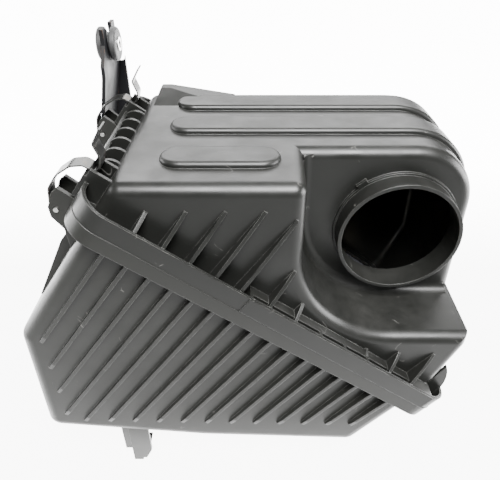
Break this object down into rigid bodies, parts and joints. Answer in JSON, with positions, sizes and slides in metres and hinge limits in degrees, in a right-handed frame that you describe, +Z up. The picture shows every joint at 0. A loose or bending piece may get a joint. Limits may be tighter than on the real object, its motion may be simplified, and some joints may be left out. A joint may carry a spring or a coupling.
{
  "type": "air filter housing",
  "caption": "Engine air filter housing: two ribbed plastic shells split on a slope, round outlet, panel filter, steel clips and a hanging arm.",
  "frame": {"origin": "centre of the outlet collar's rim", "axes": "+Z up as installed, the outlet faces -Y, the parting plane contains Y and falls 36 degrees towards +X"},
  "size_m": [0.3339, 0.2178, 0.335],
  "materials": {
    "case_plastic": "fine moulded texture, dusty",
    "cover_plastic": "fine moulded texture, semi-matte",
    "filter_rim": "soft moulded polyurethane",
    "filter_paper": "pleated resin-treated paper",
    "filter_mesh": "expanded mesh",
    "bead_resin": "hot-melt resin",
    "arm_steel": "black electro-coat",
    "bush_rubber": "moulded rubber",
    "sleeve_steel": "zinc plated",
    "seal_foam": "closed-cell foam",
    "valve_rubber": "moulded rubber",
    "clip_steel": "sprung strip",
    "pin_steel": "drawn wire",
    "screw_steel": "zinc plated",
    "insert_brass": "turned"
  },
  "bodies": {
    "case": {"lower_case": "case_plastic", "mounting_arm": "arm_steel", "arm_bushing": "bush_rubber", "arm_sleeve": "sleeve_steel", "inlet_seal": "seal_foam", "drain_valve": "valve_rubber", "clip_pin_front": "pin_steel", "clip_pin_rear": "pin_steel", "arm_screw_front": "screw_steel", "arm_screw_rear": "screw_steel", "arm_insert_front": "insert_brass", "arm_insert_rear": "insert_brass"},
    "cover": {"cover": "cover_plastic"},
    "filter": {"filter_frame": "filter_rim", "filter_media": "filter_paper", "filter_screen": "filter_mesh", "filter_beads": "bead_resin"},
    "front_clip": {"clip_front": "clip_steel"},
    "rear_clip": {"clip_rear": "clip_steel"}
  },
  "joints": [
    {"name": "cover_tilt", "type": "hinge", "parent": "case", "child": "cover", "pos_m": [0.04192, 0.0595, -0.14042], "axis": [0, 1, 0], "range_deg": [0, 80]},
    {"name": "filter_lift", "type": "slide", "parent": "case", "child": "filter", "axis": [0.5878, 0, 0.809], "range_m": [0, 0.024]},
    {"name": "front_clip_turn", "type": "hinge", "parent": "case", "child": "front_clip", "pos_m": [-0.22755, -0.0145, 0.03991], "axis": [0, -1, 0], "range_deg": [0, 150]},
    {"name": "rear_clip_turn", "type": "hinge", "parent": "case", "child": "rear_clip", "pos_m": [-0.22755, 0.1035, 0.03991], "axis": [0, -1, 0], "range_deg": [0, 150]}
  ],
  "couplings": [
    {"joint": "filter_lift", "follows": "cover_tilt", "m_per_rad": 0.017},
    {"joint": "front_clip_turn", "follows": "cover_tilt", "ratio": 1.875},
    {"joint": "rear_clip_turn", "follows": "cover_tilt", "ratio": 1.875}
  ]
}
